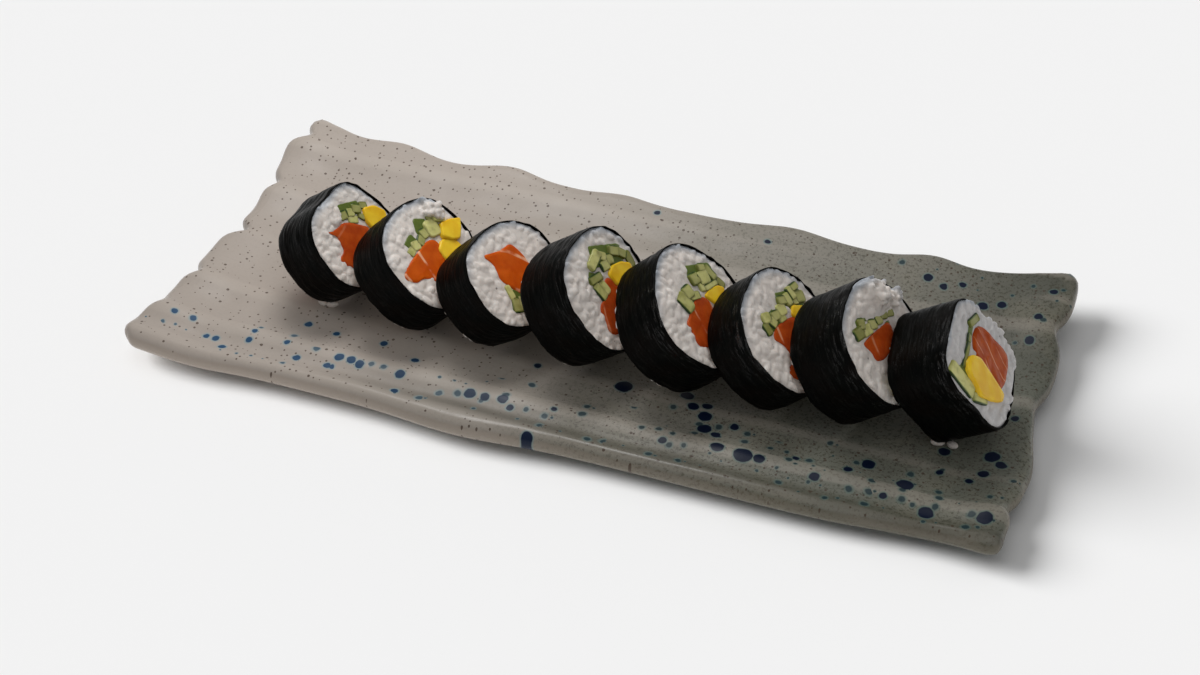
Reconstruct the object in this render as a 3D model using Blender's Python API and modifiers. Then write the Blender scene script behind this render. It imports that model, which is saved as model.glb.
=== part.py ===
"""Eight slices of a thick sushi roll in a row on a long fluted stoneware plate.

The plate's middle is at the world origin, its flat foot is at z = 0, its long side runs along X
and its front edge, which the row stands nearer to, faces -Y. All sizes below are millimetres.
"""

import math
import random

import bmesh
import bpy
from mathutils import Matrix, Vector

MM = 0.001
GAP = 0.3  # clear space between one piece and the next
SEAT_CLEAR = 0.55  # between a slice and the plate under it

# The plate.
HALF_LENGTH = 170.0
HALF_WIDTH = 81.0
CORNER_RADIUS = 7.0
LIP_RADIUS = 4.4  # half the thickness of the rounded lip
TROUGH_HEIGHT = 9.0
FRONT_SHOULDER = 2.2  # how far the floor of the plate rises under the frontmost ridge
FRONT_LIP_HEIGHT = 13.5
FRONT_CORNER_LIFT = 2.0
BACK_LIP_HEIGHT = 20.2
END_RISE = 3.0
FOOT_START = 6.0  # how far in from the outline the underside begins to drop
FOOT_END = 19.0  # how far in it has reached the flat foot
STATIONS_ALONG = 16
STATIONS_ACROSS = 19
LIP_STATIONS = (0.0, 0.5, 1.9, 4.4)  # distances in from the outline

# Flutes: where each ridge stands at the left end and at the right end, its height there, and its width.
RIDGES = (
    (60.0, 60.0, 1.5, 0.4, 6.5),
    (31.0, 47.0, 2.0, 2.0, 9.0),
    (1.0, 3.0, 1.0, 1.4, 8.0),
    (-33.0, -42.0, 2.2, 0.7, 7.0),
    (-59.0, -62.0, 2.0, 2.2, 6.0),
)
# Waves of the outline: where each one is, how far it swells outwards, how wide it is.
BACK_REACH = 71.5
BACK_FLARE = 12.0  # how far the back edge swings out at its corners
BACK_WAVES = ((-124.0, 4.0, 15.0), (-72.0, 4.2, 15.0), (-20.0, 2.2, 14.0), (54.0, 3.4, 17.0), (113.0, 3.6, 13.0))
FRONT_REACH = 78.4
FRONT_WAVES = ((-148.0, 2.6, 22.0), (-32.0, 3.2, 26.0), (140.0, -3.0, 24.0))
LEFT_REACH = 171.6
LEFT_WAVES = (
    (80.0, -3.0, 8.0),
    (66.5, -4.8, 4.5),
    (56.0, 1.2, 7.0),
    (35.0, -4.7, 5.0),
    (18.0, -3.0, 14.0),
    (2.5, -7.0, 4.5),
    (-31.0, -4.2, 4.5),
    (-55.0, -1.0, 4.0),
    (-73.0, 3.5, 12.0),
)
RIGHT_REACH = 171.2
RIGHT_WAVES = (
    (82.0, -2.0, 7.0),
    (46.5, -4.0, 7.5),
    (4.0, -3.6, 10.0),
    (-10.0, -1.6, 10.0),
    (-33.0, 1.1, 10.0),
    (-57.0, -3.0, 6.0),
    (-72.0, -2.0, 9.0),
)

# The slices.
AROUND = 24  # sides of a slice's outline
NORI = 0.7  # thickness of the seaweed wrap
SEAM_STEP = 0.6  # how far the overlapping end of the wrap stands out
SEAM_SPAN = 62.0  # degrees of overlap
LUMP = 0.28  # how far a slice's outline wanders
RICE_ROUND = 0.9  # how far the rice falls away at its edge
RICE_UNEVEN = 0.45
RICE_FRONT_RINGS = (0.95, 0.7)  # shares of the outline
RICE_BACK_RING = 0.86


def slice_of(along, across, wide, high, thick, swell, lean, turn, square, roll, seam, flats, clumps, fillings):
    return dict(
        along=along, across=across, wide=wide, high=high, thick=thick, swell=swell, lean=lean,
        turn=turn, square=square, roll=roll, seam=seam, flats=flats, clumps=clumps, fillings=fillings,
    )


def filling(name, right, up, length, width, turn, proud=0.4, taper=0.0):
    """A strip seen end on: its middle, its length and width across the cut, and the turn of its length."""
    return dict(name=name, right=right, up=up, length=length, width=width, turn=turn, proud=proud, taper=taper)


# Along and across say where the middle of the cut face stands, lean how far the face looks up,
# turn how far it looks away from the right end, roll how far the section is rolled over.
# Swell is how far the rice stands out of the far cut. A flat is pressed into the outline: its angle, its depth, its width in degrees.
# A clump is rice that stands out of the cut face: its middle, how far it stands out, its width.
SLICES = (
    slice_of(
        -99.6, -18.0, 45.5, 41.6, 20.4, 0.8, 37.7, -5.6, 2.3, 0.0, 255.0,
        ((22.0, 2.8, 26.0), (98.0, 2.2, 26.0)), ((-6.0, 13.0, 0.8, 5.0),),
        (
            filling("salmon", -3.2, -2.2, 17.0, 14.6, 42.0),
            filling("cucumber", 4.9, 9.0, 12.0, 5.4, -25.0, 0.3, 0.1),
            filling("yellow_strip", 13.8, -0.6, 9.4, 7.6, -40.0, 0.9),
        ),
    ),
    slice_of(
        -66.2, -19.4, 48.6, 44.2, 19.0, 2.6, 46.0, -1.0, 2.4, 3.0, 235.0,
        ((60.0, 0.8, 20.0),), ((15.0, 12.0, 2.2, 4.5),),
        (
            filling("salmon", -6.8, -0.6, 20.6, 12.6, 2.0, 0.3, -0.06),
            filling("cucumber", 6.9, 8.6, 10.6, 7.4, -39.0, 0.6),
            filling("cucumber_strip", -4.4, 9.3, 7.6, 3.8, 5.0, 0.2),
            filling("yellow_strip_upper", 15.8, 1.6, 9.8, 8.6, -39.0, 1.7),
            filling("yellow_strip_lower", 11.0, -5.9, 9.2, 7.8, -39.0, 0.7),
        ),
    ),
    slice_of(
        -30.2, -21.0, 47.6, 42.2, 20.4, 2.4, 45.6, -9.0, 2.3, -12.0, 250.0,
        ((104.0, 1.0, 22.0),), ((-14.0, 8.0, 0.8, 5.0),),
        (
            filling("salmon", 2.4, 3.6, 15.6, 15.4, -14.0, 0.4, 0.04),
            filling("cucumber", -8.7, -7.8, 9.4, 6.2, 50.0, 0.3),
        ),
    ),
    slice_of(
        7.2, -20.7, 48.5, 46.0, 22.6, 2.6, 37.5, -4.8, 2.4, 0.0, 240.0,
        (), ((-14.0, 8.0, 0.7, 5.0),),
        (
            filling("salmon", -4.6, -6.6, 18.0, 8.8, 28.0, 0.3, -0.1),
            filling("cucumber", 9.3, 9.2, 19.6, 8.8, -30.0, 1.0),
            filling("cucumber_strip", -3.6, 6.1, 8.4, 5.8, -45.0, 0.6),
            filling("yellow_strip", 12.1, -1.8, 12.4, 6.2, -30.0, 0.8),
        ),
    ),
    slice_of(
        43.4, -20.1, 51.0, 48.4, 21.4, 2.6, 45.0, -1.0, 2.3, 22.0, 245.0,
        ((25.0, 0.8, 20.0),), ((-13.0, 11.0, 0.8, 5.0),),
        (
            filling("salmon", -6.4, -5.2, 20.0, 9.0, 18.0, 0.3, -0.08),
            filling("cucumber", 12.5, 6.8, 15.8, 8.8, -32.0, 1.0),
            filling("cucumber_strip", -2.3, 6.7, 8.8, 6.4, -15.0, 0.6),
            filling("yellow_strip", 12.5, -2.6, 11.6, 5.8, -32.0, 0.8),
        ),
    ),
    slice_of(
        76.2, -17.8, 50.6, 46.6, 17.8, 0.0, 45.5, -5.0, 2.3, 5.0, 240.0,
        (), ((-14.0, 10.0, 0.9, 5.0),),
        (
            filling("salmon", -6.4, -6.2, 21.4, 8.8, 30.0, 0.4, -0.05),
            filling("cucumber", 11.9, 5.8, 16.6, 8.2, -28.0, 0.8),
            filling("cucumber_strip", -4.4, 7.3, 11.0, 6.6, -8.0, 0.5),
            filling("yellow_strip", 12.8, -3.3, 10.6, 5.4, -28.0, 0.8),
        ),
    ),
    slice_of(
        111.8, -18.4, 47.5, 45.0, 25.0, 2.0, 41.0, -8.0, 2.4, 18.0, 250.0,
        ((165.0, 1.5, 20.0),), ((9.0, 15.0, 4.6, 6.5),),
        (
            filling("salmon", -3.2, 1.6, 17.0, 8.0, -22.0),
            filling("cucumber", 0.7, 8.2, 21.0, 5.2, -24.0, 0.8),
        ),
    ),
    slice_of(
        147.2, -17.3, 40.5, 43.6, 24.9, 0.0, 35.5, -6.8, 3.3, 18.0, 215.0,
        (), ((-12.0, 13.0, 0.8, 5.0),),
        (
            filling("salmon", 6.9, -3.2, 20.8, 12.8, -80.0, 0.4, 0.02),
            filling("yellow_strip", -7.0, -5.4, 17.0, 9.0, -104.0, 1.2, 0.28),
            filling("cucumber", -13.2, 3.4, 11.6, 5.2, 66.0, 0.3),
            filling("cucumber_strip", 1.0, 10.5, 16.0, 2.6, 22.0, 0.3),
        ),
    ),
)

# Colour, roughness.
PAINTS = {
    "plate": ((0.36, 0.33, 0.28), 0.25),
    "nori": ((0.012, 0.014, 0.012), 0.35),
    "rice": ((0.72, 0.70, 0.68), 0.5),
    "salmon": ((0.75, 0.16, 0.03), 0.3),
    "cucumber": ((0.35, 0.45, 0.16), 0.35),
    "yellow_strip": ((0.80, 0.47, 0.03), 0.3),
}


def smooth(value, low, high):
    """0 below low, 1 above high, with a soft start and end."""
    share = min(1.0, max(0.0, (value - low) / (high - low)))
    return share * share * (3.0 - 2.0 * share)


def bump(value, centre, width):
    return math.exp(-(((value - centre) / width) ** 2))


def plate_top(x, y):
    """Height of the upper surface before the lip is rounded."""
    share = 0.5 + x / (2.0 * HALF_LENGTH)
    height = TROUGH_HEIGHT
    if y < 0.0:
        height += FRONT_SHOULDER * smooth(-y, 30.0, 58.0)
        height += (FRONT_LIP_HEIGHT - TROUGH_HEIGHT - FRONT_SHOULDER) * smooth(-y, 66.0, 76.0)
        height += FRONT_CORNER_LIFT * smooth(abs(x), 130.0, 166.0) * smooth(-y, 60.0, 76.0)
    else:
        height += (BACK_LIP_HEIGHT - TROUGH_HEIGHT) * min(1.0, y / 76.0) ** 2.4
    height += END_RISE * smooth(abs(x), HALF_LENGTH - 26.0, HALF_LENGTH - 4.0) * (1.0 - smooth(abs(y), 60.0, 78.0))
    for y_left, y_right, high_left, high_right, width in RIDGES:
        centre = y_left + (y_right - y_left) * share
        high = high_left + (high_right - high_left) * share
        height += high * bump(y, centre, width)
    return height


def end_reach(y, right_end):
    """How far the short end reaches from the middle, at this distance across."""
    reach, waves = (RIGHT_REACH, RIGHT_WAVES) if right_end else (LEFT_REACH, LEFT_WAVES)
    return reach + sum(out * bump(y, at, wide) for at, out, wide in waves)


def side_reach(x, back):
    """How far the long side reaches from the middle, at this distance along."""
    reach, waves = (BACK_REACH, BACK_WAVES) if back else (FRONT_REACH, FRONT_WAVES)
    flare = BACK_FLARE * (abs(x) / HALF_LENGTH) ** 8 if back else 0.0
    return reach + flare + sum(out * bump(x, at, wide) for at, out, wide in waves)


def stations(half, count):
    """Places from one edge to the other, close together at the lip, as shares of half."""
    edge = [1.0 - distance / half for distance in LIP_STATIONS]
    inner_end = 1.0 - 10.0 / half
    inner = [inner_end * (1.0 - 2.0 * i / (count - 1)) for i in range(count)]
    return edge + inner + [-share for share in reversed(edge)]


def plate_point(a, b):
    """Where the grid point at shares a and b of the half sizes lies, and how far in from the outline it is."""
    nominal_x = a * HALF_LENGTH
    nominal_y = b * HALF_WIDTH
    reach_x = end_reach(nominal_y, a > 0.0)
    reach_y = side_reach(nominal_x, b > 0.0)
    x = a * reach_x
    y = b * reach_y
    inset = min(reach_x - abs(x), reach_y - abs(y))
    into_x = (abs(x) - (reach_x - CORNER_RADIUS)) / CORNER_RADIUS
    into_y = (abs(y) - (reach_y - CORNER_RADIUS)) / CORNER_RADIUS
    if into_x > 0.0 and into_y > 0.0:
        shrink = max(into_x, into_y) / math.hypot(into_x, into_y)
        x = math.copysign(reach_x - CORNER_RADIUS * (1.0 - into_x * shrink), x)
        y = math.copysign(reach_y - CORNER_RADIUS * (1.0 - into_y * shrink), y)
    return x, y, inset


def paint(name):
    material = bpy.data.materials.new(name)
    material.use_nodes = True
    colour, rough = PAINTS[name]
    shader = material.node_tree.nodes["Principled BSDF"]
    shader.inputs["Base Color"].default_value = (*colour, 1.0)
    shader.inputs["Roughness"].default_value = rough
    shader.inputs["Metallic"].default_value = 0.0
    return material


def put(name, bm, material, parent=None, is_smooth=False):
    bmesh.ops.recalc_face_normals(bm, faces=bm.faces[:])
    mesh = bpy.data.meshes.new(name)
    bm.to_mesh(mesh)
    bm.free()
    if is_smooth:
        mesh.shade_smooth()
    mesh.materials.append(material)
    made = bpy.data.objects.new(name, mesh)
    made.parent = parent
    bpy.context.scene.collection.children["maki_plate"].objects.link(made)
    return made


def make_plate(material):
    """Two sheets, the upper surface and the underside, that meet in the middle of the rounded lip."""
    along = stations(HALF_LENGTH, STATIONS_ALONG)
    across = stations(HALF_WIDTH, STATIONS_ACROSS)
    bm = bmesh.new()
    sheets = []
    for is_top in (True, False):
        rows = []
        for a in along:
            row = []
            for b in across:
                x, y, inset = plate_point(a, b)
                crest = plate_top(x, y)
                fall = LIP_RADIUS * (1.0 - math.sqrt(1.0 - (1.0 - min(1.0, inset / LIP_RADIUS)) ** 2))
                if is_top:
                    z = crest - fall
                else:
                    under = crest - 2.0 * LIP_RADIUS
                    z = max(0.0, under * (1.0 - smooth(inset, FOOT_START, FOOT_END))) + fall
                row.append(bm.verts.new(Vector((x, y, z)) * MM))
            rows.append(row)
        for i in range(len(along) - 1):
            for j in range(len(across) - 1):
                bm.faces.new((rows[i][j], rows[i][j + 1], rows[i + 1][j + 1], rows[i + 1][j]))
        sheets.append(rows)
    bmesh.ops.remove_doubles(bm, verts=bm.verts[:], dist=0.00001)
    return put("plate", bm, material, is_smooth=True)


def outline_radius(piece, number, angle):
    """Distance from the middle of a slice to its outside at this angle."""
    rolled = angle - math.radians(piece["roll"])
    power = piece["square"]
    across = abs(2.0 * math.cos(rolled) / piece["wide"]) ** power
    up = abs(2.0 * math.sin(rolled) / piece["high"]) ** power
    radius = (across + up) ** (-1.0 / power)
    wander = sum(math.cos(k * angle + 1.7 * number * k + k * k) / k for k in (3, 4, 5))
    past_seam = (math.degrees(angle) - piece["seam"]) % 360.0
    step = SEAM_STEP * smooth(past_seam, 0.0, 14.0) * (1.0 - smooth(past_seam, 14.0, SEAM_SPAN))
    pressed = 0.0
    for at, deep, spread in piece["flats"]:
        pressed += deep * bump((math.degrees(angle) - at + 180.0) % 360.0 - 180.0, 0.0, spread)
    return radius + LUMP * wander + step - pressed


def outline(piece, number, inset, z, share=1.0):
    points = []
    for i in range(AROUND):
        angle = 2.0 * math.pi * i / AROUND
        radius = (outline_radius(piece, number, angle) - inset) * share
        points.append(Vector((radius * math.cos(angle), radius * math.sin(angle), z)))
    return points


def loft(bm, sections, close_ends):
    """Skins closed sections of equal count, and closes the first and the last with a fan."""
    rings = [[bm.verts.new(point * MM) for point in section] for section in sections]
    for lower, upper in zip(rings, rings[1:]):
        for i in range(len(lower)):
            j = (i + 1) % len(lower)
            bm.faces.new((lower[i], lower[j], upper[j], upper[i]))
    if close_ends:
        caps = [bm.faces.new(rings[0]), bm.faces.new(rings[-1])]
        bmesh.ops.poke(bm, faces=caps)
    return rings


def make_nori(piece, number, material, parent):
    bm = bmesh.new()
    outer_back = outline(piece, number, 0.0, -piece["thick"])
    outer_front = outline(piece, number, 0.0, 0.0)
    inner_front = outline(piece, number, NORI, 0.0)
    inner_back = outline(piece, number, NORI, -piece["thick"])
    rings = loft(bm, (outer_back, outer_front, inner_front, inner_back), False)
    for i in range(AROUND):
        j = (i + 1) % AROUND
        bm.faces.new((rings[3][i], rings[3][j], rings[0][j], rings[0][i]))
    return put(f"roll_{number}_nori", bm, material, parent, is_smooth=True)


def strip_outline(strip, grow):
    """The rounded, slightly tapered box that a strip shows at the cut."""
    turn = Matrix.Rotation(math.radians(strip["turn"]), 2)
    half_length = strip["length"] / 2.0 + grow
    half_width = strip["width"] / 2.0 + grow
    corner = 0.3 * min(half_length, half_width)
    points = []
    for side_x, side_y, start in ((1, 1, 0.0), (-1, 1, 90.0), (-1, -1, 180.0), (1, -1, 270.0)):
        for step in (18.0, 72.0):
            angle = math.radians(start + step)
            x = side_x * (half_length - corner) + corner * math.cos(angle)
            y = side_y * (half_width - corner) + corner * math.sin(angle)
            y *= 1.0 + strip["taper"] * x / half_length
            point = turn @ Vector((x, y))
            points.append(Vector((point.x + strip["right"], point.y + strip["up"], 0.0)))
    return points


def make_strip(piece, strip, grow, back, front, name, material, parent):
    bm = bmesh.new()
    face = bm.faces.new([bm.verts.new((p + Vector((0.0, 0.0, back))) * MM) for p in strip_outline(strip, grow)])
    grown = bmesh.ops.extrude_face_region(bm, geom=[face])
    lifted = [item for item in grown["geom"] if isinstance(item, bmesh.types.BMVert)]
    bmesh.ops.translate(bm, verts=lifted, vec=(0.0, 0.0, (front - back) * MM))
    return put(name, bm, material, parent)


def make_rice(piece, number, material, parent, chosen):
    """Rice fills the wrap, a little lower at its edge, with a hole where the strips run through."""
    inset = NORI + GAP
    thick = piece["thick"]
    back = [
        outline(piece, number, inset, -thick - 0.6 * piece["swell"], RICE_BACK_RING),
        outline(piece, number, inset, -thick + RICE_ROUND),
    ]
    front = [outline(piece, number, inset, -RICE_ROUND)]
    for share in RICE_FRONT_RINGS:
        front.append(outline(piece, number, inset, -0.1, share))
    for ring in front[1:]:
        for point in ring:
            point.z += chosen.uniform(-1.0, 1.0) * RICE_UNEVEN
            for right, up, out, wide in piece["clumps"]:
                point.z += out * math.exp(-(((point.x - right) ** 2 + (point.y - up) ** 2) / wide**2))
    for point in back[0]:
        point.z += chosen.uniform(-0.6, 0.6) * RICE_UNEVEN
    bm = bmesh.new()
    loft(bm, back + front, True)
    bmesh.ops.triangulate(bm, faces=bm.faces[:])
    rice = put(f"roll_{number}_rice", bm, material, parent)
    for strip in piece["fillings"]:
        cutter = make_strip(
            piece, strip, GAP, -thick - 8.0, 12.0, f"roll_{number}_{strip['name']}_channel", material, parent
        )
        cutter.hide_render = True
        cutter.display_type = "WIRE"
        bpy.context.scene.collection.children["maki_plate"].objects.unlink(cutter)
        bpy.data.collections["channels"].objects.link(cutter)
        cut = rice.modifiers.new(strip["name"], "BOOLEAN")
        cut.operation = "DIFFERENCE"
        cut.solver = "EXACT"
        cut.object = cutter
    return rice


def seat_height(piece, number, frame):
    """How high the middle of the face stands when the wrap just clears the plate."""
    height = 0.0
    for depth in (0.0, -piece["thick"]):
        for point in outline(piece, number, 0.0, depth):
            at = frame @ point + Vector((piece["along"], piece["across"], 0.0))
            height = max(height, plate_top(at.x, at.y) + SEAT_CLEAR - at.z)
    return height


def make_slice(piece, number, materials):
    lean = math.radians(piece["lean"])
    turn = math.radians(piece["turn"])
    facing = Vector((math.cos(lean) * math.cos(turn), math.cos(lean) * math.sin(turn), math.sin(lean)))
    level = Vector((-math.sin(turn), math.cos(turn), 0.0))
    upward = facing.cross(level)
    frame = Matrix((level, upward, facing)).transposed()
    middle = bpy.data.objects.new(f"roll_{number}", None)
    middle.empty_display_size = 0.01
    middle.rotation_euler = frame.to_euler()
    middle.location = Vector((piece["along"], piece["across"], seat_height(piece, number, frame))) * MM
    bpy.context.scene.collection.children["maki_plate"].objects.link(middle)
    chosen = random.Random(number)
    make_nori(piece, number, materials["nori"], middle)
    make_rice(piece, number, materials["rice"], middle, chosen)
    for strip in piece["fillings"]:
        stuff = strip["name"].replace("_upper", "").replace("_lower", "").replace("cucumber_strip", "cucumber")
        back = -piece["thick"] - 0.3
        made = make_strip(
            piece, strip, 0.0, back, strip["proud"], f"roll_{number}_{strip['name']}", materials[stuff], middle
        )
        soften = made.modifiers.new("soft edge", "BEVEL")
        soften.width = 0.4 * MM
        soften.segments = 1
        soften.limit_method = "ANGLE"
        soften.angle_limit = math.radians(60.0)


def main():
    for old in list(bpy.data.objects):
        bpy.data.objects.remove(old)
    for name in ("maki_plate", "channels"):
        bpy.context.scene.collection.children.link(bpy.data.collections.new(name))
    materials = {name: paint(name) for name in PAINTS}
    make_plate(materials["plate"])
    for number, piece in enumerate(SLICES, start=1):
        make_slice(piece, number, materials)


main()
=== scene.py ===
"""The looks of eight slices of a thick sushi roll on a long fluted stoneware plate.

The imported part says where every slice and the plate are. Lengths are millimetres, apart from those of the
camera, the lights, the floor and the places in materials, which are metres.
A place on a cut face is given as (right, up) from the middle of the slice's wrap.
"""

import itertools
import math

import bpy
import numpy as np
from mathutils import Matrix, Vector
from mathutils.kdtree import KDTree


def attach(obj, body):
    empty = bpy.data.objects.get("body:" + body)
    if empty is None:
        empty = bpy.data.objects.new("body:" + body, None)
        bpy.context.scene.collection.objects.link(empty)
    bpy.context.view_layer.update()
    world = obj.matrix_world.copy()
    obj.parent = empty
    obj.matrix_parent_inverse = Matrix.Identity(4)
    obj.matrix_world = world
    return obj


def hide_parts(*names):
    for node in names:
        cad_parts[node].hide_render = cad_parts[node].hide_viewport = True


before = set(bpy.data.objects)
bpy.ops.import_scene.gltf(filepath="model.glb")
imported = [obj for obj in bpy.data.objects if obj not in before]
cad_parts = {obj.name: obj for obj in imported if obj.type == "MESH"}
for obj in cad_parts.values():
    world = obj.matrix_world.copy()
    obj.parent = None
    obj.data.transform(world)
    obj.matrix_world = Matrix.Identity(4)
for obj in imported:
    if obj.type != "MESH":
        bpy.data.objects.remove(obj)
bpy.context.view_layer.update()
MM = 0.001
WHOLE_TURN = 2.0 * math.pi
PIECES = []  # every piece that is built here

# The viewpoint, in metres and degrees, and the lens.
CAMERA_AT = (0.1973, -0.5481, 0.4705)
CAMERA_DOWN = 38.9
CAMERA_TURN = 20.19
LENS = 56.41

# The lights: kind, where it shines from, power, size in metres or angle in degrees, and what it lights.
WORLD_STRENGTH = 0.26
LIGHTS = {
    "window": ("AREA", (-0.13, 0.16, 0.40), 1.15, 0.20, "part"),
    "overhead": ("SUN", (0.25, -0.05, 1.0), 0.30, 30.0, "part"),
    "fill": ("SUN", (0.45, -0.54, 0.71), 0.30, 60.0, "part"),
    "low over the floor": ("SUN", (-0.79, -0.16, 0.62), 3.35, 36.0, "table"),
    "high over the floor": ("SUN", (-0.10, -0.05, 1.0), 0.35, 50.0, "table"),
}
WINDOW_AIM = (-0.03, -0.02, 0.02)
FLOOR_REACH = 6.0

# The plate, as in the part.
HALF_LENGTH = 170.0
HALF_WIDTH = 81.0
CORNER_RADIUS = 7.0
LIP_RADIUS = 4.4  # half the thickness of the rounded lip
TROUGH_HEIGHT = 9.0
FRONT_SHOULDER = 2.2  # how far the floor of the plate rises under the frontmost ridge
FRONT_LIP_HEIGHT = 13.5
FRONT_CORNER_LIFT = 2.0
BACK_LIP_HEIGHT = 20.2
END_RISE = 3.0
FOOT_START = 6.0  # how far in from the outline the underside begins to drop
FOOT_END = 19.0  # how far in it has reached the flat foot

# Flutes: where each ridge stands at the left end and at the right end, its height there, and its width.
RIDGES = (
    (60.0, 60.0, 1.5, 0.4, 6.5),
    (31.0, 47.0, 2.0, 2.0, 9.0),
    (1.0, 3.0, 1.0, 1.4, 8.0),
    (-33.0, -42.0, 2.2, 0.7, 7.0),
    (-59.0, -62.0, 2.0, 2.2, 6.0),
)
# Waves of the outline: where each one is, how far it swells outwards, how wide it is.
BACK_REACH = 71.5
BACK_FLARE = 12.0  # how far the back edge swings out at its corners
BACK_WAVES = ((-124, 4, 15), (-72, 4.2, 15), (-20, 2.2, 14), (54, 3.4, 17), (113, 3.6, 13))
FRONT_REACH = 78.4
FRONT_WAVES = ((-148, 2.6, 22), (-32, 3.2, 26), (140, -3, 24))
LEFT_REACH = 171.6
LEFT_WAVES = (
    (80, -3, 8), (66.5, -4.8, 4.5), (56, 1.2, 7), (35, -4.7, 5), (18, -3, 14), (2.5, -7, 4.5),
    (-31, -4.2, 4.5), (-55, -1, 4), (-73, 3.5, 12),
)
RIGHT_REACH = 171.2
RIGHT_WAVES = (
    (82, -2, 7), (46.5, -4, 7.5), (4, -3.6, 10), (-10, -1.6, 10), (-33, 1.1, 10), (-57, -3, 6), (-72, -2, 9),
)

# The slices.
NORI = 0.42  # the room that the seaweed takes
WRAP_RADIUS = 22.0  # sets how fast the seaweed's creases follow each other round the slice
WRAP_LAP = 48.0  # degrees by which the seaweed laps over its own start
FILLING_PAST = 0.2  # how far the fillings stand out of the cut behind
RICE_REACH = 28.0
GRAIN_LENGTH = 5.5
GRAIN_WIDTH = 3.2
GRAIN_SPACING = 3.0
RICE_VOXEL = 0.38
RICE_KEPT = 0.6  # the share of the rice's faces that is kept, fewest where it is flat
STRIP_SPREAD = 1.16  # the cucumber strips press against each other


def smooth(value, low, high):
    share = np.clip((value - low) / (high - low), 0.0, 1.0)
    return share * share * (3.0 - 2.0 * share)


def bump(value, centre, width):
    return np.exp(-(((value - centre) / width) ** 2))


def wander(points, cell, seed):
    """Smooth noise from -1 to 1 at points, an N x 3 array, with cells of this size."""
    scaled = points / cell
    base = np.floor(scaled).astype(np.int64)
    part = scaled - base
    part = part * part * (3.0 - 2.0 * part)
    total = np.zeros(len(points))
    for corner in itertools.product((0, 1), repeat=3):
        at = base + np.array(corner)
        mixed = at[:, 0] * 73856093 ^ at[:, 1] * 19349663 ^ at[:, 2] * 83492791 ^ (seed * 2654435761)
        mixed = (mixed ^ (mixed >> 13)) * 1274126177 & 0xFFFFFFFF
        mixed = (mixed ^ (mixed >> 16)) * 668265263 & 0xFFFFFFFF
        weight = np.prod(np.where(np.array(corner) == 1, part, 1.0 - part), axis=1)
        total += weight * ((mixed >> 8) % 65536 / 32767.5 - 1.0)
    return total


def build(name, points, faces, material, matrix=None, replaces=(), attributes=None):
    """A mesh piece, in millimetres in its own frame, that rides on the part."""
    mesh = bpy.data.meshes.new(name)
    mesh.from_pydata((np.asarray(points) * MM).tolist(), [], faces)
    mesh.shade_smooth()
    for key, values in (attributes or {}).items():
        values = np.asarray(values, np.float32)
        layer = mesh.attributes.new(key, "FLOAT" if values.ndim == 1 else "FLOAT_VECTOR", "POINT")
        layer.data.foreach_set("value" if values.ndim == 1 else "vector", values.ravel())
    mesh.materials.append(material)
    piece = bpy.data.objects.new(name, mesh)
    bpy.context.scene.collection.objects.link(piece)
    if matrix is not None:
        piece.matrix_world = matrix
    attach(piece, "root")
    if replaces:
        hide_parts(*replaces)
    PIECES.append(piece)


def join(parts):
    """Several (points, faces, attributes) as one."""
    points = []
    faces = []
    gathered = {}
    count = 0
    for part_points, part_faces, part_attributes in parts:
        points.append(part_points)
        faces.extend(tuple(i + count for i in face) for face in part_faces)
        for key, values in part_attributes.items():
            gathered.setdefault(key, []).append(values)
        count += len(part_points)
    return np.concatenate(points), faces, {key: np.concatenate(values) for key, values in gathered.items()}


def grid_quads(rows, columns):
    """Quads over a grid of points that is numbered row by row."""
    return [
        (i * columns + j, i * columns + j + 1, (i + 1) * columns + j + 1, (i + 1) * columns + j)
        for i in range(rows - 1)
        for j in range(columns - 1)
    ]


def skin_rings(rings):
    """Quads between rings of equal count, and a fan over each end."""
    count = len(rings[0])
    points = np.concatenate([*rings, [rings[0].mean(0)], [rings[-1].mean(0)]])
    faces = []
    for r in range(len(rings) - 1):
        for i in range(count):
            j = (i + 1) % count
            faces.append((r * count + i, r * count + j, (r + 1) * count + j, (r + 1) * count + i))
    last = (len(rings) - 1) * count
    for i in range(count):
        j = (i + 1) % count
        faces.append((len(points) - 2, j, i))
        faces.append((len(points) - 1, last + i, last + j))
    return points, faces


def soften(outline, times, cut=0.25):
    """Cuts the corners of a closed outline again and again, until it is round."""
    outline = np.asarray(outline, float)
    for _ in range(times):
        following = np.roll(outline, -1, axis=0)
        near = outline + cut * (following - outline)
        far = following + cut * (outline - following)
        outline = np.stack([near, far], 1).reshape(-1, 2)
    return outline


def even(outline, spacing):
    """The same closed outline with points at about this spacing."""
    loop = np.vstack([outline, outline[:1]])
    run = np.concatenate([[0.0], np.cumsum(np.linalg.norm(np.diff(loop, axis=0), axis=1))])
    count = max(12, int(run[-1] / spacing))
    at = np.linspace(0.0, run[-1], count, endpoint=False)
    return np.stack([np.interp(at, run, loop[:, k]) for k in (0, 1)], 1)


def outside(points, outline):
    """How far each point is outside a closed outline, negative inside."""
    starts = outline
    ends = np.roll(outline, -1, axis=0)
    along = ends - starts
    apart = points[:, None, :] - starts[None]
    share = np.clip((apart * along).sum(2) / np.maximum((along**2).sum(1), 1e-9), 0.0, 1.0)
    near = np.linalg.norm(apart - share[..., None] * along, axis=2).min(1)
    crosses = (starts[None, :, 1] > points[:, None, 1]) != (ends[None, :, 1] > points[:, None, 1])
    rise = np.where(np.abs(along[:, 1]) < 1e-12, 1e-12, along[:, 1])
    reach = starts[:, 0] + (points[:, None, 1] - starts[:, 1]) * along[:, 0] / rise
    inside = (crosses & (points[:, None, 0] < reach)).sum(1) % 2 == 1
    return np.where(inside, -near, near)


# Materials. Their scales are per metre.


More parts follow.
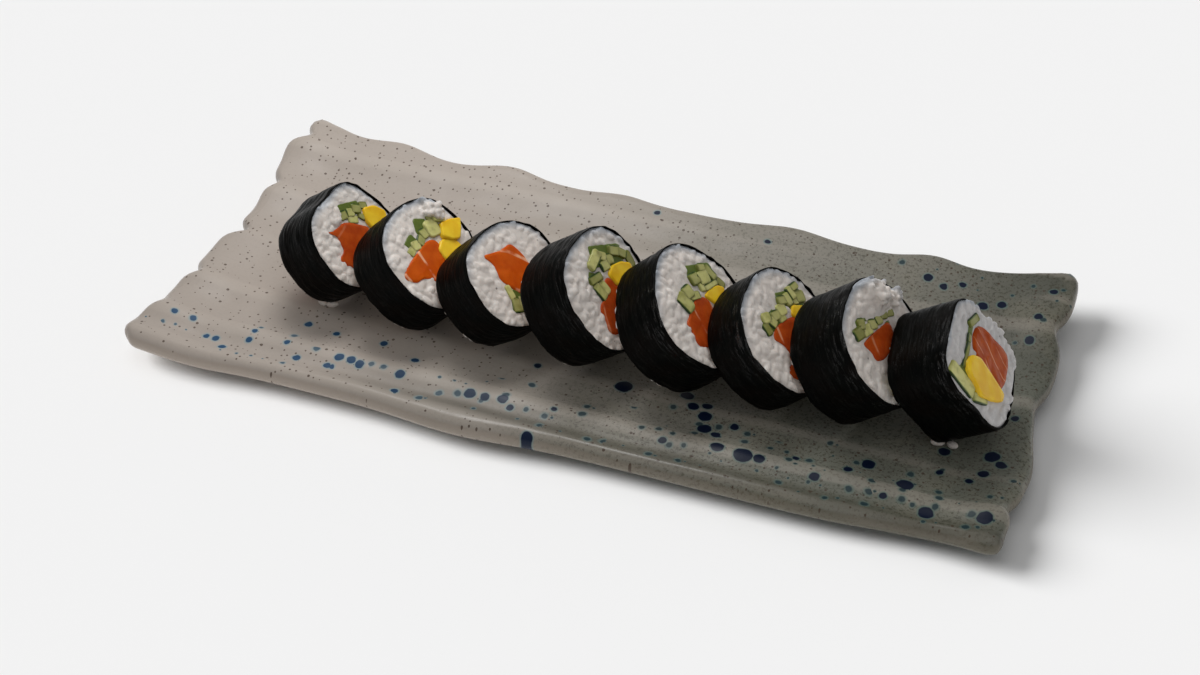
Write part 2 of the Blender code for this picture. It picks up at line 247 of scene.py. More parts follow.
class Shader:
    """A node material with short ways to add and join nodes."""

    def __init__(self, name):
        self.material = bpy.data.materials.new(name)
        self.material.use_nodes = True
        self.tree = self.material.node_tree
        self.main = self.tree.nodes["Principled BSDF"]
        self.where = self.tree.nodes.new("ShaderNodeTexCoord").outputs["Object"]

    def plug(self, socket, value):
        if isinstance(value, bpy.types.NodeSocket):
            self.tree.links.new(value, socket)
        elif isinstance(value, tuple) and socket.type == "RGBA":
            socket.default_value = (*value, 1.0)
        else:
            socket.default_value = value

    def add(self, kind, inputs, **settings):
        """The outputs of a new node, with these inputs set or joined."""
        made = self.tree.nodes.new("ShaderNode" + kind)
        for key, value in settings.items():
            setattr(made, key, value)
        for key, value in inputs.items():
            self.plug(made.inputs[key], value)
        return made.outputs

    def set(self, **values):
        for key, value in values.items():
            self.plug(self.main.inputs[key.replace("_", " ")], value)

    def math(self, operation, first, second):
        return self.add("Math", {0: first, 1: second}, operation=operation)[0]

    def times(self, first, second):
        return self.math("MULTIPLY", first, second)

    def step(self, value, low, high, to_low=0.0, to_high=1.0):
        """Goes smoothly from to_low to to_high as the value goes from low to high."""
        inputs = dict(enumerate((value, low, high, to_low, to_high)))
        return self.add("MapRange", inputs, interpolation_type="SMOOTHSTEP")[0]

    def mix(self, share, first, second):
        return self.add("Mix", {0: share, 6: first, 7: second}, data_type="RGBA")[2]

    def noise(self, scale, detail=3.0, where=None, distortion=0.0, rough=0.5):
        inputs = {"Scale": scale, "Detail": detail, "Roughness": rough, "Distortion": distortion}
        return self.add("TexNoise", {"Vector": where or self.where, **inputs})["Fac"]

    def cells(self, scale, where=None):
        """How far the middle of the nearest cell is, and that cell's own colour."""
        inputs = {"Vector": where or self.where, "Scale": scale}
        made = self.add("TexVoronoi", inputs, voronoi_dimensions="2D" if where else "3D")
        return made["Distance"], made["Color"]

    def stretched(self, where, scale, turn=0.0):
        turned_by = (0.0, 0.0, math.radians(turn))
        return self.add("Mapping", {"Vector": where, "Rotation": turned_by, "Scale": scale})[0]

    def apart(self, vector):
        return self.add("SeparateXYZ", {0: vector})

    def attribute(self, name, kind="Fac"):
        return self.add("Attribute", {}, attribute_name=name)[kind]

    def bump(self, height, strength, distance, socket="Normal"):
        made = self.add("Bump", {"Height": height, "Strength": strength, "Distance": distance * MM})
        self.plug(self.main.inputs[socket], made[0])


def rice_material():
    s = Shader("rice grains")
    pale = s.mix(s.attribute("tone"), (0.66, 0.60, 0.55), (0.78, 0.725, 0.675))
    cloudy = s.mix(s.step(s.noise(330.0), 0.45, 0.75, 0.0, 0.6), pale, (0.56, 0.52, 0.485))
    # Painted shade: greyer under the wrap's upper rim, and all over a slice that is given a shade.
    shadowed = s.mix(s.attribute("rim"), cloudy, (0.36, 0.385, 0.42))
    fleck = s.step(s.cells(300.0)[0], 0.09, 0.15, 1.0, 0.0)
    rare = s.step(s.noise(170.0, 1.0), 0.58, 0.64)
    s.set(Base_Color=s.mix(s.times(fleck, rare), shadowed, (0.22, 0.19, 0.17)))
    s.set(Roughness=s.step(s.noise(700.0), 0.3, 0.7, 0.30, 0.5), IOR=1.4, Specular_IOR_Level=0.35)
    s.set(Subsurface_Weight=0.6, Subsurface_Radius=(1.0, 0.9, 0.85), Subsurface_Scale=1.1 * MM)
    s.bump(s.noise(900.0, 4.0), 0.15, 0.3)
    return s.material


def nori_material():
    """Near-black seaweed with fibres that run round the slice, and a wet film broken into threads."""
    s = Shader("seaweed")
    lay = s.attribute("lay", "Vector")
    fibres = s.noise(1.0, 5.0, s.stretched(lay, (110.0, 900.0, 500.0)), 0.6)
    creases = s.noise(1.0, 3.0, s.stretched(lay, (45.0, 260.0, 200.0)), 1.2)
    tint = s.mix(s.step(s.noise(90.0, 2.0), 0.35, 0.7), (0.0014, 0.0017, 0.0015), (0.0030, 0.0020, 0.0014))
    s.set(Base_Color=s.mix(s.step(fibres, 0.50, 0.85), tint, (0.006, 0.007, 0.0055)))
    s.set(Roughness=s.step(fibres, 0.3, 0.7, 0.30, 0.55), Specular_IOR_Level=0.035)
    threads = s.noise(1.0, 4.0, s.stretched(lay, (170.0, 1100.0, 500.0)), 0.8)
    shiny = s.times(s.step(threads, 0.50, 0.60), s.step(s.noise(120.0, 3.0), 0.38, 0.56))
    s.set(Coat_Weight=s.times(shiny, s.attribute("wet")), Coat_Roughness=0.15, Coat_IOR=1.45)
    s.bump(s.noise(420.0, 4.0, rough=0.6), 0.9, 2.2, "Coat Normal")
    s.bump(s.math("ADD", s.times(fibres, 0.45), creases), 0.55, 0.9)
    return s.material


def salmon_material(name, flesh, deep, line_turn, line_scale, line_strength):
    """Salmon with pale lines of fat that run across it at line_turn degrees."""
    s = Shader(name)
    inputs = {"Scale": line_scale, "Distortion": 3.2, "Detail": 2.0, "Detail Scale": 0.9}
    wave = s.add("TexWave", {"Vector": s.stretched(s.where, (1.0, 1.0, 0.15), line_turn), **inputs})["Fac"]
    broken = s.step(s.noise(190.0, 2.0), 0.35, 0.6)
    lines = s.times(s.times(s.step(wave, 0.965, 1.0), broken), line_strength)
    body = s.mix(s.step(s.noise(170.0, 3.0), 0.3, 0.7), deep, flesh)
    s.set(Base_Color=s.mix(lines, body, (0.90, 0.52, 0.32)), Roughness=0.26, IOR=1.4, Specular_IOR_Level=0.15)
    s.set(Subsurface_Weight=0.2, Subsurface_Radius=(1.0, 0.35, 0.15), Subsurface_Scale=1.5 * MM)
    s.bump(s.noise(420.0, 4.0, s.stretched(s.where, (1.0, 0.4, 0.4), line_turn)), 0.2, 0.4)
    return s.material


def cucumber_material():
    s = Shader("cucumber")
    skin = s.attribute("skin")
    flesh = s.mix(s.attribute("tone"), (0.085, 0.100, 0.012), (0.62, 0.60, 0.230))
    wet = s.mix(s.step(s.noise(260.0, 3.0), 0.45, 0.72, 0.0, 0.55), flesh, (0.230, 0.225, 0.045))
    under = s.mix(s.step(skin, 0.10, 0.55), wet, (0.120, 0.165, 0.028))
    s.set(Base_Color=s.mix(s.step(skin, 0.55, 0.85), under, (0.018, 0.040, 0.008)))
    s.set(Roughness=0.28, IOR=1.38, Specular_IOR_Level=0.35)
    s.set(Subsurface_Weight=0.35, Subsurface_Radius=(0.8, 1.0, 0.5), Subsurface_Scale=1.5 * MM)
    s.bump(s.noise(600.0, 3.0), 0.2, 0.4)
    return s.material


def yellow_material():
    s = Shader("yellow strip")
    body = s.mix(s.step(s.noise(140.0, 2.0), 0.3, 0.7), (0.80, 0.46, 0.012), (0.92, 0.62, 0.030))
    streak = s.noise(1.0, 3.0, s.stretched(s.where, (300.0, 90.0, 60.0), 25.0))
    s.set(Base_Color=s.mix(s.step(streak, 0.55, 0.8, 0.0, 0.3), body, (0.62, 0.34, 0.01)))
    s.set(Roughness=0.26, IOR=1.4, Specular_IOR_Level=0.3)
    s.set(Subsurface_Weight=0.2, Subsurface_Radius=(1.0, 0.7, 0.15), Subsurface_Scale=1.5 * MM)
    s.bump(streak, 0.12, 0.4)
    return s.material


# The larger blue spots: (along, across, radius).
SPOTS = (
    (-159, -60, 1.3), (-151, -60, 1.5), (-142, -66, 1.3), (-138, -66, 1.4), (-133, -70, 1.4),
    (-125, -63, 1.3), (-110, -60, 1.2), (-103, -66, 1.5), (-90, -66, 1.4), (-109, -44, 1.6), (-96, -46, 1.4),
    (-76, -45, 1.6), (-125, -58, 1.3), (-87, -61, 1.9), (-82, -61, 1.9), (-78, -62, 1.9), (-88, -66, 1.1),
    (-61, -62, 1.9), (-59, -71, 1.5), (-60, -51, 1.5), (-32, -63, 2.2), (-26, -63, 1.9), (-19, -62, 1.9),
    (-15, -65, 1.5), (-15, -37, 1.5), (1, -61, 1.1), (20, -37, 3.4), (-3, -78, 2.0), (44, -63, 1.5),
    (44, -33, 2.6), (48, -39, 2.2), (53, -37, 1.9), (54, -43, 2.6), (56, -50, 2.6), (61, -52, 1.8),
    (64, -60, 2.5), (74, -61, 3.6), (66, -45, 1.8), (80, -61, 2.2), (92, -55, 1.4), (101, -63, 1.8),
    (111, -54, 1.8), (117, -48, 2.5), (126, -64, 1.4), (132, -55, 3.2), (157, -40, 2.1), (158, -29, 2.9),
    (162, -33, 2.1), (142, -43, 1.4), (141, -30, 2.2), (153, -45, 1.4), (142, -67, 2.8), (162, -65, 2.8),
    (-2, 66, 1.3), (47, 63, 1.2), (114, 62, 2.0), (121, 59, 1.6), (128, 62, 1.4), (138, 53, 2.2),
    (145, 56, 1.9), (159, 39, 1.9), (160, 51, 1.8), (163, 66, 1.6), (162, -6, 1.5),
)


def large_spots(s, place):
    """How much of the nearest large spot shows, and of its pale halo."""
    apart = 100.0
    for x, y, radius in SPOTS:
        away = s.add("VectorMath", {0: place, 1: (x * MM, y * MM, 0.0)}, operation="DISTANCE")["Value"]
        apart = s.math("MINIMUM", s.math("SUBTRACT", away, radius * MM), apart)
    return s.step(apart, -0.25 * MM, 0.15 * MM, 1.0, 0.0), s.step(apart, 0.0, 0.9 * MM, 1.0, 0.0)


def small_spots(s, place, along, across):
    """The same for small spots, which lie closer together to the front and right."""
    front = s.step(across, s.step(along, -0.10, 0.08, -0.050, -0.028), -0.066)
    front = s.times(front, s.step(across, -0.078, -0.072))
    back_right = s.times(s.step(along, 0.06, 0.15), s.step(across, 0.020, 0.045, 0.0, 0.35))
    share = s.times(s.math("MAXIMUM", front, back_right), s.step(along, -0.16, 0.06, 0.22, 0.8))
    near, chance = s.cells(165.0, place)
    chance = s.apart(chance)
    present = s.math("LESS_THAN", chance[1], s.times(share, 0.85))
    inside = s.math("DIVIDE", near, s.step(chance[0], 0.0, 1.0, 0.07, 0.27))
    spots = s.times(s.step(inside, 0.6, 1.0, 0.85, 0.0), present)
    return spots, s.times(s.step(inside, 0.8, 1.6, 0.8, 0.0), present)


def glaze_ground(s, greener_and_shaded, along, across):
    """Glaze colour: cloudy grain to the right, crests paler as painted sheen, a brown rim, a front band of
    painted shade.
    """
    # Greener to the right, and darker there as painted shade; darker still, as more painted shade, at the
    # back right corner.
    corner = s.times(s.step(along, 0.09, 0.17), s.step(across, -0.01, 0.05))
    green_and_corner_shade = s.mix(corner, (0.150, 0.155, 0.125), (0.085, 0.088, 0.070))
    base = s.mix(greener_and_shaded, (0.415, 0.362, 0.318), green_and_corner_shade)
    cloud = s.step(s.noise(38.0, 5.0, rough=0.6), 0.45, 0.65)
    base = s.mix(s.times(cloud, s.step(greener_and_shaded, 0.2, 1.0, 0.0, 0.5)), base, (0.22, 0.205, 0.155))
    grain = s.step(s.noise(800.0, 4.0, rough=0.75), 0.50, 0.62)
    base = s.mix(s.times(grain, s.step(greener_and_shaded, 0.15, 1.0, 0.04, 0.75)), base, (0.050, 0.047, 0.032))
    # Painted sheen: the ridge crests are paler.
    base = s.mix(s.step(s.attribute("crest_sheen"), 0.2, 1.0, 0.0, 0.22), base, (0.52, 0.46, 0.40))
    brown = s.mix(greener_and_shaded, (0.38, 0.31, 0.25), (0.17, 0.135, 0.095))
    base = s.mix(s.step(s.attribute("edge"), 0.5, 1.0, 0.0, 0.45), base, brown)
    # Painted shade: the band behind the front lip, which slopes away from the light, is darker.
    return s.mix(s.times(s.attribute("front_band_shade"), 0.62), base, (0.060, 0.058, 0.042))


def iron_specks(s, base, flat):
    """The colour with fine and finer brown specks, of uneven size."""
    for scale, size in ((380.0, 0.17), (200.0, 0.12)):
        near, chance = s.cells(scale, flat)
        chance = s.apart(chance)
        reach = s.step(chance[2], 0.0, 1.0, 0.4 * size, size)
        speck = s.times(s.math("LESS_THAN", near, reach), s.math("LESS_THAN", chance[0], 0.30))
        base = s.mix(s.times(speck, 0.8), base, (0.060, 0.036, 0.024))
    return base


def glaze_material():
    """Grey-beige glaze, greener to the right and darker there as painted shade, with iron specks and blue
    spots.
    """
    s = Shader("speckled glaze")
    along, across, _ = s.apart(s.where)
    flat = s.add("CombineXYZ", {0: along, 1: across})[0]
    drift = s.times(s.math("SUBTRACT", s.noise(14.0, 2.0), 0.5), 0.10)
    # Painted shade: the darkening to the right leans a little towards the front.
    lean = s.times(across, -0.35)
    greener_and_shaded = s.step(s.math("ADD", s.math("ADD", along, lean), drift), -0.12, 0.17)
    base = iron_specks(s, glaze_ground(s, greener_and_shaded, along, across), flat)
    # The spots' outlines wobble a little.
    wobble = s.add("TexNoise", {"Vector": flat, "Scale": 260.0})["Color"]
    place = s.add("VectorMath", {0: wobble, 1: (0.0016, 0.0011, 0.0), 2: flat}, operation="MULTIPLY_ADD")[0]
    large, halo = large_spots(s, place)
    small, small_halo = small_spots(s, place, along, across)
    halo = s.times(s.math("MAXIMUM", halo, small_halo), 0.7)
    # The halos and the spots are painted darker to the right as well, as shade.
    base = s.mix(halo, base, s.mix(greener_and_shaded, (0.24, 0.34, 0.36), (0.095, 0.155, 0.135)))
    thin = s.mix(s.step(along, -0.13, 0.04), (0.030, 0.080, 0.130), (0.008, 0.026, 0.036))
    thick = s.mix(s.step(along, -0.13, 0.02), (0.020, 0.070, 0.150), (0.0025, 0.007, 0.024))
    dull = s.step(s.attribute("lip"), 0.0, 1.0, 0.16, 0.0)
    s.set(Base_Color=s.mix(large, s.mix(small, base, thin), thick), IOR=1.5, Specular_IOR_Level=0.18)
    s.set(Roughness=s.math("ADD", s.step(s.noise(60.0), 0.3, 0.7, 0.20, 0.34), dull))
    s.bump(s.math("ADD", s.noise(120.0, 3.0), s.times(s.noise(900.0, 2.0), 0.15)), 0.2, 0.5)
    return s.material


RICE = rice_material()
SEAWEED = nori_material()
CUCUMBER = cucumber_material()
YELLOW = yellow_material()
GLAZE = glaze_material()


# The plate.


def plate_top(x, y):
    share = 0.5 + x / (2.0 * HALF_LENGTH)
    front = FRONT_SHOULDER * smooth(-y, 30.0, 58.0)
    front = front + (FRONT_LIP_HEIGHT - TROUGH_HEIGHT - FRONT_SHOULDER) * smooth(-y, 66.0, 76.0)
    front = front + FRONT_CORNER_LIFT * smooth(np.abs(x), 130.0, 166.0) * smooth(-y, 60.0, 76.0)
    back = (BACK_LIP_HEIGHT - TROUGH_HEIGHT) * np.clip(np.maximum(y, 0.0) / 76.0, 0.0, 1.0) ** 2.4
    height = TROUGH_HEIGHT + np.where(y < 0.0, front, back)
    ends = smooth(np.abs(x), HALF_LENGTH - 26.0, HALF_LENGTH - 4.0)
    height = height + END_RISE * ends * (1.0 - smooth(np.abs(y), 60.0, 78.0))
    for y_left, y_right, high_left, high_right, width in RIDGES:
        centre = y_left + (y_right - y_left) * share
        height = height + (high_left + (high_right - high_left) * share) * bump(y, centre, width)
    return height


def waved(reach, waves, place):
    return reach + sum(out * bump(place, at, wide) for at, out, wide in waves)


def end_reach(y, right_end):
    return np.where(right_end, waved(RIGHT_REACH, RIGHT_WAVES, y), waved(LEFT_REACH, LEFT_WAVES, y))


def side_reach(x, back):
    flare = BACK_FLARE * (np.abs(x) / HALF_LENGTH) ** 8
    return np.where(back, flare + waved(BACK_REACH, BACK_WAVES, x), waved(FRONT_REACH, FRONT_WAVES, x))


def plate_stations(half, count):
    """Shares of the way out at which the plate has points, close together over the lip."""
    lip = np.array([0.0, 0.25, 0.7, 1.3, 2.1, 3.1, 4.4, 6.2])
    edge = 1.0 - lip / half
    inner = (1.0 - 8.5 / half) * np.linspace(1.0, -1.0, count)
    return np.concatenate([edge, inner, -edge[::-1]])


def plate_plan():
    """The grid of places seen from above, how far in from the outline each one is, and the grid's shape."""
    a, b = np.meshgrid(plate_stations(HALF_LENGTH, 150), plate_stations(HALF_WIDTH, 92), indexing="ij")
    shape = a.shape
    a = a.ravel()
    b = b.ravel()
    reach_x = end_reach(b * HALF_WIDTH, a > 0.0)
    reach_y = side_reach(a * HALF_LENGTH, b > 0.0)
    x = a * reach_x
    y = b * reach_y
    inset = np.minimum(reach_x - np.abs(x), reach_y - np.abs(y))
    # The square corners are drawn in to round ones.
    into_x = (np.abs(x) - (reach_x - CORNER_RADIUS)) / CORNER_RADIUS
    into_y = (np.abs(y) - (reach_y - CORNER_RADIUS)) / CORNER_RADIUS
    corner = (into_x > 0.0) & (into_y > 0.0)
    shrink = np.maximum(into_x, into_y) / np.maximum(np.hypot(into_x, into_y), 1e-9)
    x = np.where(corner, np.copysign(reach_x - CORNER_RADIUS * (1.0 - into_x * shrink), x), x)
    y = np.where(corner, np.copysign(reach_y - CORNER_RADIUS * (1.0 - into_y * shrink), y), y)
    return x, y, inset, shape


def make_plate():
    """The plate's top and underside, which share their points along the outline."""
    x, y, inset, (rows, columns) = plate_plan()
    top = plate_top(x, y)
    flat = np.column_stack([x, y, np.zeros_like(x)])
    hand = 0.28 * wander(flat, 26.0, 1) + 0.12 * wander(flat, 9.0, 2)
    fall = LIP_RADIUS * (1.0 - np.sqrt(1.0 - (1.0 - np.clip(inset / LIP_RADIUS, 0.0, 1.0)) ** 2))
    upper = top + hand - fall
    foot = smooth(inset, FOOT_START, FOOT_END)
    under = np.maximum(0.0, (top - 2.0 * LIP_RADIUS) * (1.0 - foot)) + fall
    inner = np.flatnonzero(inset >= 1e-6)
    below = np.arange(len(x))
    below[inner] = len(x) + np.arange(len(inner))
    faces = grid_quads(rows, columns)
    faces += [tuple(below[list(quad[::-1])].tolist()) for quad in faces]
    points = np.concatenate([np.column_stack([x, y, upper]), np.column_stack([x, y, under])[inner]])
    # How sharply the top bends over a crest, which sets the painted sheen there.
    bend = 2.0 * top - plate_top(x, y + 3.0) - plate_top(x, y - 3.0)
    edge = 1.0 - smooth(inset, 0.0, 2.2)
    lip = 1.0 - smooth(inset, 3.0, 9.0)
    # Where the painted shade behind the front lip lies.
    front_band_shade = bump(y, -70.5 - 2.0 * smooth(x, -60.0, 60.0), 4.5) * smooth(x, -110.0, -20.0)
    attributes = {"crest_sheen": np.concatenate([np.clip(bend / 0.35, 0.0, 1.0), np.zeros(len(inner))])}
    for key, values in (("edge", edge), ("lip", lip), ("front_band_shade", front_band_shade)):
        attributes[key] = np.concatenate([values, values[inner]])
    build("glazed_plate", points, faces, GLAZE, replaces=("plate",), attributes=attributes)


# The slices.


class Slice:
    """Where a slice stands and how its wrap runs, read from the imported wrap."""

    def __init__(self, number):
        self.number = number
        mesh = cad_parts[f"roll_{number}_nori"].data
        points = np.array([v.co for v in mesh.vertices]) / MM
        # The wrap's axis is the way that its walls face least.
        spread = np.zeros((3, 3))
        for face in mesh.polygons:
            normal = np.array(face.normal)
            spread += face.area * np.outer(normal, normal)
        facing = np.linalg.eigh(spread)[1][:, 0]
        facing = facing * np.sign(facing[2])
        level = np.cross((0.0, 0.0, 1.0), facing)
        level = level / np.linalg.norm(level)
        upward = np.cross(facing, level)
        depth = points @ facing
        self.thick = depth.max() - depth.min()
        front = points[depth > depth.max() - 0.05]
        flat = np.unique(np.round(np.column_stack([front @ level, front @ upward]), 2), axis=0)
        ring = self.only_outer(flat - flat.mean(0))
        middle = flat.mean(0) + ring.mean(0)
        ring = ring - ring.mean(0)
        turns = np.arctan2(ring[:, 1], ring[:, 0])
        order = np.argsort(turns)
        turns = turns[order]
        self.turns = np.concatenate([turns - WHOLE_TURN, turns, turns + WHOLE_TURN])
        self.radii = np.tile(np.linalg.norm(ring, axis=1)[order], 3)
        axes = np.column_stack([level, upward, facing])
        place = level * middle[0] + upward * middle[1] + facing * depth.max()
        self.matrix = Matrix.Translation((place * MM).tolist()) @ Matrix(axes.tolist()).to_4x4()

    @staticmethod
    def only_outer(ring):
        """Drops the points of the wrap's inner wall, which lie close behind an outer point."""
        turn = np.arctan2(ring[:, 1], ring[:, 0])
        out = np.linalg.norm(ring, axis=1)
        kept = []
        for i in np.argsort(turn):
            apart = np.abs((turn - turn[i] + math.pi) % WHOLE_TURN - math.pi)
            if out[i] >= out[apart < 0.06].max() - 1e-6:
                kept.append(i)
        return ring[kept]

    def outline_of(self, node):
        """The outline of a packed filling's front face, in this slice's own frame."""
        inverse = np.array(self.matrix.inverted())
        points = np.array([v.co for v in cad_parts[node].data.vertices])
        local = (points @ inverse[:3, :3].T + inverse[:3, 3]) / MM
        front = local[local[:, 2] > local[:, 2].max() - 1.2]
        flat = np.unique(np.round(front[:, :2], 2), axis=0)
        middle = flat.mean(0)
        return flat[np.argsort(np.arctan2(flat[:, 1] - middle[1], flat[:, 0] - middle[0]))]

    def radius(self, angle):
        """Smooth outside radius of the wrap at these angles."""
        count = len(self.turns) // 3
        angle = (np.asarray(angle) + math.pi) % WHOLE_TURN - math.pi
        i = np.searchsorted(self.turns, angle, side="right") - 1
        i = np.clip(i, count // 2, 2 * count + count // 2)
        share = (angle - self.turns[i]) / (self.turns[i + 1] - self.turns[i])
        p0, p1, p2, p3 = (self.radii[i + k] for k in (-1, 0, 1, 2))
        bend = 2 * p0 - 5 * p1 + 4 * p2 - p3
        return 0.5 * (2 * p1 + (p2 - p0) * share + bend * share**2 + (3 * p1 - p0 - 3 * p2 + p3) * share**3)


def bare_side(piece, angle):
    """1 where the end piece's rice is bare past the wrap, on the right of its cut face."""
    if piece.number != len(FACES):
        return np.zeros_like(angle)
    return bump((angle + math.pi) % WHOLE_TURN - math.pi, math.radians(2.0), math.radians(48.0))


def closed_sheet(outer, inner, rows, columns):
    """A thin sheet between two grids of points, closed along its rim."""
    grid = np.arange(rows * columns).reshape(rows, columns)
    rim = np.concatenate([grid[0], grid[1:, -1], grid[-1, -2::-1], grid[-2:0:-1, 0]]).tolist()
    faces = grid_quads(rows, columns)
    faces += [tuple(q + grid.size for q in quad[::-1]) for quad in faces]
    for here, there in zip(rim, rim[1:] + rim[:1]):
        faces.append((there, here, here + grid.size, there + grid.size))
    return np.concatenate([outer, inner]), faces


def wrap(piece, seam):
    """One sheet of seaweed that goes round and laps over its own start, with creases that run round too."""
    around, deep = 230, 30
    sweep = np.linspace(0.0, WHOLE_TURN + math.radians(WRAP_LAP), around)
    turn, down = np.meshgrid(sweep, np.linspace(0.0, 1.0, deep), indexing="ij")
    angle = math.radians(seam) + turn
    arc = turn * WRAP_RADIUS
    ragged = np.column_stack([arc.ravel(), np.zeros(turn.size), np.full(turn.size, 7.0 * piece.number)])
    front_edge, back_edge = (
        (0.35 * wander(ragged, fine, seed) + 0.35 * wander(ragged, broad, seed + 1)).reshape(turn.shape)
        for fine, broad, seed in ((2.6, 9.0, 3), (2.9, 8.0, 5))
    )
    front_edge = front_edge - 2.4 * bare_side(piece, angle)
    z = front_edge * (1.0 - down) + (back_edge - piece.thick) * down
    place = np.column_stack([arc.ravel(), z.ravel() * 3.2, np.full(turn.size, 11.0 * piece.number)])
    crease = (0.20 * wander(place, 6.5, 7) + 0.10 * wander(place, 2.6, 8)).reshape(turn.shape)
    depth = down * piece.thick
    curl = -0.55 * (1.0 - smooth(depth, 0.0, 1.6)) - 0.4 * smooth(depth, piece.thick - 1.4, piece.thick)
    lap = smooth(turn, WHOLE_TURN - 0.25, WHOLE_TURN + 0.10)
    outer = piece.radius(angle) + 0.30 * lap + crease + 0.5 * curl
    walls = (
        np.stack([wall * np.cos(angle), wall * np.sin(angle), z], -1).reshape(-1, 3)
        for wall in (outer, outer - NORI * 0.7)
    )
    points, faces = closed_sheet(*walls, around, deep)
    lay = np.column_stack([(arc * MM).ravel(), (z * MM).ravel(), np.full(turn.size, 0.1 * piece.number)])
    near_cut = 1.0 - smooth(-z, 1.0, 11.0)
    window_side = bump(angle % WHOLE_TURN, math.radians(160.0), 0.9)
    wet = (0.12 + 0.88 * smooth(piece.number, 3.0, 5.0) * near_cut * window_side).ravel()
    attributes = {"lay": np.concatenate([lay, lay]), "wet": np.concatenate([wet, wet])}
    name = f"roll_{piece.number}"
    build(f"{name}_seaweed", points, faces, SEAWEED, piece.matrix, (f"{name}_nori",), attributes)


def slab(outline, back, front, seed, edge, uneven, spacing=0.8):
    """A strip that runs through the slice, with rounded rims and slightly uneven cut faces."""
    outline = even(outline, spacing)
    middle = outline.mean(0)
    size = np.linalg.norm(outline - middle, axis=1).mean()
    rims = [(0.3, 0.0), (0.6, 0.0), (0.82, 0.0)]
    rims += [(1.0 - edge / size, 0.0), (1.0 - 0.35 * edge / size, 0.25), (1.0, edge)]
    levels = [(share, back + drop) for share, drop in rims]
    levels += [(1.0, z) for z in np.linspace(back + edge, front - edge, 4)[1:-1]]
    levels += [(share, front - drop) for share, drop in reversed(rims)]
    rings = []
    for share, z in levels:
        flat = middle + (outline - middle) * share
        rings.append(np.column_stack([flat, np.full(len(flat), z)]))
    points, faces = skin_rings(rings)
    points[:, 2] += uneven * wander(points + 50.0 * seed, 2.4, seed)
    sideways = [wander(points + 9.0, 2.0, seed + 1), wander(points - 9.0, 2.0, seed + 2)]
    points[:, :2] += 0.12 * np.stack(sideways, 1)
    return points, faces


def rounded_box(right, up, length, width, turn):
    """A box turned about its middle; its corners are rounded over 0.28 of its smaller side."""
    cut = 0.28 * min(length, width)
    points = []
    for x, y, first in ((1, 1, 0), (-1, 1, 90), (-1, -1, 180), (1, -1, 270)):
        for step in (0, 30, 60, 90):
            angle = math.radians(first + step)
            along = x * (length / 2.0 - cut) + cut * math.cos(angle)
            points.append((along, y * (width / 2.0 - cut) + cut * math.sin(angle)))
    along, across = np.array(points).T
    c, s = math.cos(math.radians(turn)), math.sin(math.radians(turn))
    return np.stack([right + c * along - s * across, up + s * along + c * across], 1)


def cucumber_strips(piece, node, strips, seed):
    """Thin strips side by side over a darker bed of the bundle's outline, partly the cucumber's green and
    partly painted shade in the gaps.
    """
    name = f"roll_{piece.number}_{node}"
    bed = even(piece.outline_of(name), 1.0)
    points, faces = slab(bed, -piece.thick - 0.1, -0.12, seed + 90, 0.3, 0.1, 1.0)
    # The bed's dark colour is partly painted shade in the gaps between strips.
    made = [(points, faces, {"skin": np.full(len(points), 0.62), "tone": np.full(len(points), -0.6)})]
    sides = {"right": (1, 0), "left": (-1, 0), "up": (0, 1), "down": (0, -1), "none": (0, 0)}
    outlines = [bed]
    for k, (right, up, length, width, turn, side, pale, proud) in enumerate(strips):
        length *= STRIP_SPREAD
        width *= STRIP_SPREAD
        outline = rounded_box(right, up, length, width, turn)
        outlines.append(outline)
        points, faces = slab(outline, -piece.thick - FILLING_PAST, proud, seed + 7 * k, 0.35, 0.18, 0.5)
        c, s = math.cos(math.radians(turn)), math.sin(math.radians(turn))
        x, y = points[:, 0] - right, points[:, 1] - up
        local = np.stack([(x * c + y * s) / (length / 2.0), (-x * s + y * c) / (width / 2.0)], 1)
        reach = length if side in ("right", "left") else width
        skin = smooth(local @ np.array(sides[side]), 1.0 - 2.2 / reach, 1.0) * (side != "none")
        # Painted shade: each strip is darker towards its edges, as in the gaps between strips.
        rim = smooth(np.abs(local).max(1), 0.66, 1.0)
        made.append((points, faces, {"skin": skin, "tone": pale + 0.22 - 0.55 * rim}))
    points, faces, attributes = join(made)
    build(f"{name}_strips", points, faces, CUCUMBER, piece.matrix, (name,), attributes)
    return outlines


def grain_shape():
    """A cooked grain of rice along X: blunt ends, a little bent, a little flat."""
    around, along = 9, 8
    angle = np.arange(around) * WHOLE_TURN / around
    rings = []
    for i in range(1, along):
        t = -math.cos(math.pi * i / along)
        girth = (1.0 - abs(t) ** 2.4) ** 0.5
        across = girth * GRAIN_WIDTH / 2.0 * np.cos(angle) + 0.35 * (1.0 - t * t)
        up = girth * GRAIN_WIDTH * 0.43 * np.sin(angle)
        rings.append(np.column_stack([np.full(around, t * GRAIN_LENGTH / 2.0), across, up]))
    points, faces = skin_rings(rings)
    points[-2, 0] = -GRAIN_LENGTH / 2.0
    points[-1, 0] = GRAIN_LENGTH / 2.0
    return points, faces


GRAIN_POINTS, GRAIN_FACES = grain_shape()


def turns_about(axis, angle):
    """Turning matrices about one axis, one for each angle."""
    i, j = (axis + 1) % 3, (axis + 2) % 3
    made = np.zeros((len(angle), 3, 3))
    made[:, axis, axis] = 1.0
    made[:, i, i] = made[:, j, j] = np.cos(angle)
    made[:, i, j] = -np.sin(angle)
    made[:, j, i] = np.sin(angle)
    return made


